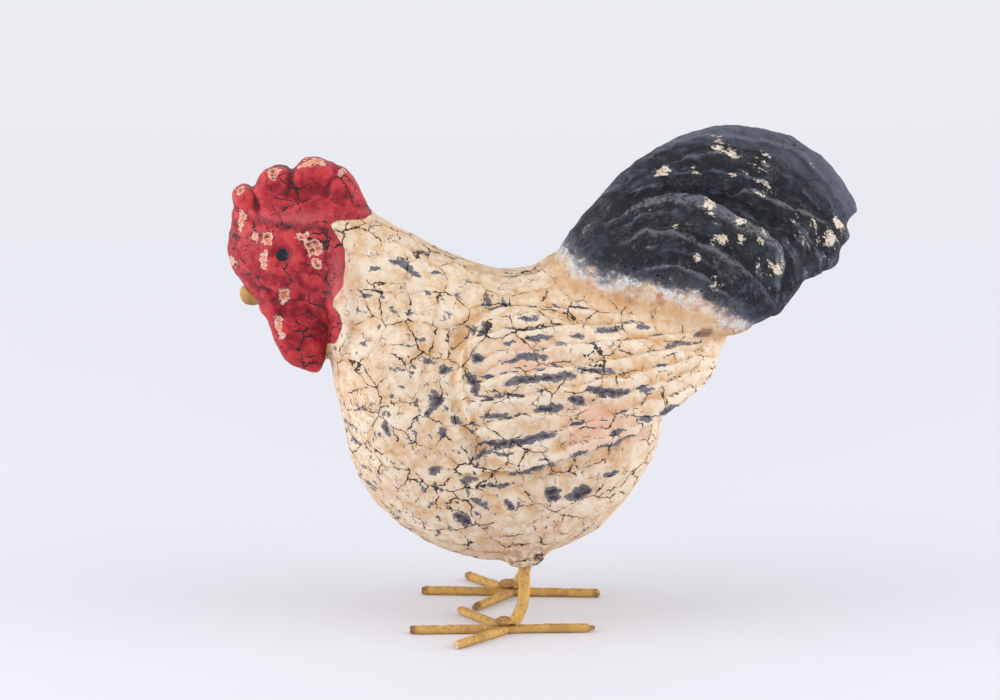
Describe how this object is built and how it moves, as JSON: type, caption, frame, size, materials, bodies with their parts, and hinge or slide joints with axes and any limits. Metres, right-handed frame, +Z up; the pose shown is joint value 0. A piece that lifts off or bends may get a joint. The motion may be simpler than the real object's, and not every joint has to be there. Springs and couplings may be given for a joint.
{
  "type": "rooster figure",
  "caption": "Free-standing painted rooster figure: hollow moulded body with applied comb, wattles, wings and tail, on bent rod legs with welded rod toes.",
  "frame": {"origin": "centre of the bounding box's base, on the surface that the feet stand on", "axes": "+X along the body towards the tail, -X towards the beak; +Y towards the bird's right side; +Z up"},
  "size_m": [0.3299, 0.1438, 0.2625],
  "materials": {
    "cream_paint": "matte",
    "red_paint": "satin",
    "pink_red_paint": "satin",
    "ochre_beak": "matte",
    "black_paint": "matte",
    "stained_filler": "matte",
    "raw_wood": "matte",
    "ochre_rod": "matte",
    "weld": "matte"
  },
  "bodies": {
    "root": {"beak": "ochre_beak", "body_shell_left": "cream_paint", "body_shell_right": "cream_paint", "comb": "red_paint", "ear_lobe_left": "pink_red_paint", "ear_lobe_right": "pink_red_paint", "foot_weld_left": "weld", "foot_weld_right": "weld", "inner_toe_left": "ochre_rod", "inner_toe_right": "ochre_rod", "leg_block": "raw_wood", "leg_collar_left": "stained_filler", "leg_collar_right": "stained_filler", "leg_left": "ochre_rod", "leg_right": "ochre_rod", "long_toe_left": "ochre_rod", "long_toe_right": "ochre_rod", "outer_toe_left": "ochre_rod", "outer_toe_right": "ochre_rod", "tail_covert_left": "black_paint", "tail_covert_right": "black_paint", "tail_filler_left": "stained_filler", "tail_filler_right": "stained_filler", "tail_peg": "raw_wood", "tail_plume": "black_paint", "wattle_left": "red_paint", "wattle_right": "red_paint", "wing_left": "cream_paint", "wing_right": "cream_paint"}
  },
  "joints": []
}
